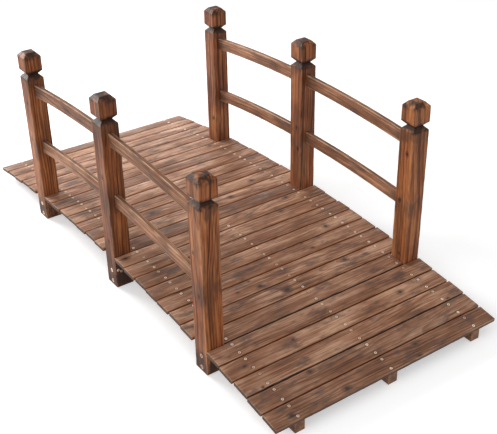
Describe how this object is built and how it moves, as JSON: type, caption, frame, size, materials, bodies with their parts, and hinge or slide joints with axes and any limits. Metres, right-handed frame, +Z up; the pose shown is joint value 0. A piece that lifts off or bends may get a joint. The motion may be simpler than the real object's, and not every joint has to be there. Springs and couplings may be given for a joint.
{
  "type": "arched garden footbridge",
  "caption": "Low arched wooden footbridge with spaced cross boards and curved double rails let into square posts with grooved, bevelled knobs.",
  "frame": {"origin": "on the ground at the middle of the span and of the deck's width", "axes": "+X along the bridge towards its near end, +Y across it towards its right side, +Z up"},
  "size_m": [1.4986, 0.673, 0.5462],
  "materials": {
    "deck_wood": "stained softwood, weathered satin, with grain along the boards and dark knots",
    "post_wood": "stained softwood, orange brown, satin, with charred grooves and bevels",
    "rail_wood": "stained softwood, brown, satin",
    "stringer_wood": "stained softwood, dark brown, matt",
    "screw_steel": "zinc plated screw heads, dulled and stained, in the dressed scene only"
  },
  "bodies": {
    "root": {"stringer_left": "stringer_wood", "stringer_center": "stringer_wood", "stringer_right": "stringer_wood", "board_01": "deck_wood", "board_02": "deck_wood", "board_03": "deck_wood", "board_04": "deck_wood", "board_05": "deck_wood", "board_06": "deck_wood", "board_07": "deck_wood", "board_08": "deck_wood", "board_09": "deck_wood", "board_10": "deck_wood", "board_11": "deck_wood", "board_12": "deck_wood", "board_13": "deck_wood", "board_14": "deck_wood", "board_15": "deck_wood", "board_16": "deck_wood", "board_17": "deck_wood", "board_18": "deck_wood", "board_19": "deck_wood", "board_20": "deck_wood", "board_21": "deck_wood", "board_22": "deck_wood", "board_23": "deck_wood", "board_24": "deck_wood", "board_25": "deck_wood", "board_26": "deck_wood", "board_27": "deck_wood", "post_far_left": "post_wood", "post_far_right": "post_wood", "post_mid_left": "post_wood", "post_mid_right": "post_wood", "post_near_left": "post_wood", "post_near_right": "post_wood", "rail_upper_far_left": "rail_wood", "rail_upper_far_right": "rail_wood", "rail_upper_near_left": "rail_wood", "rail_upper_near_right": "rail_wood", "rail_lower_far_left": "rail_wood", "rail_lower_far_right": "rail_wood", "rail_lower_near_left": "rail_wood", "rail_lower_near_right": "rail_wood"}
  },
  "joints": []
}
